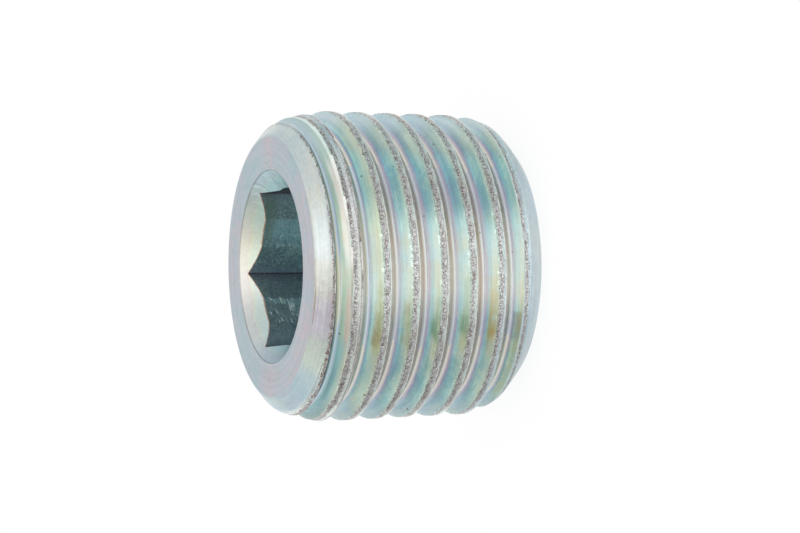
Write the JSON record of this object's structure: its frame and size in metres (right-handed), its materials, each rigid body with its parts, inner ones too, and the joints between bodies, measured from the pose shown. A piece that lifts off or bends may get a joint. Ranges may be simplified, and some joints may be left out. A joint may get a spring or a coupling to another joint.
{
  "type": "hex socket plug",
  "caption": "Headless hex socket screw plug with a fine taper thread, chamfered at both ends, with a countersunk blind hexagon in its large end.",
  "frame": {"origin": "centre of the small plain end face, on the plug's axis", "axes": "+Z along the axis from the small end to the socket; two corners of the hexagon lie over the X axis"},
  "size_m": [0.0102, 0.0102, 0.008],
  "materials": {
    "zinc_plate": "steel, zinc plated and blue passivated, with iridescent tints"
  },
  "bodies": {
    "root": {"socket_plug": "zinc_plate"}
  },
  "joints": []
}
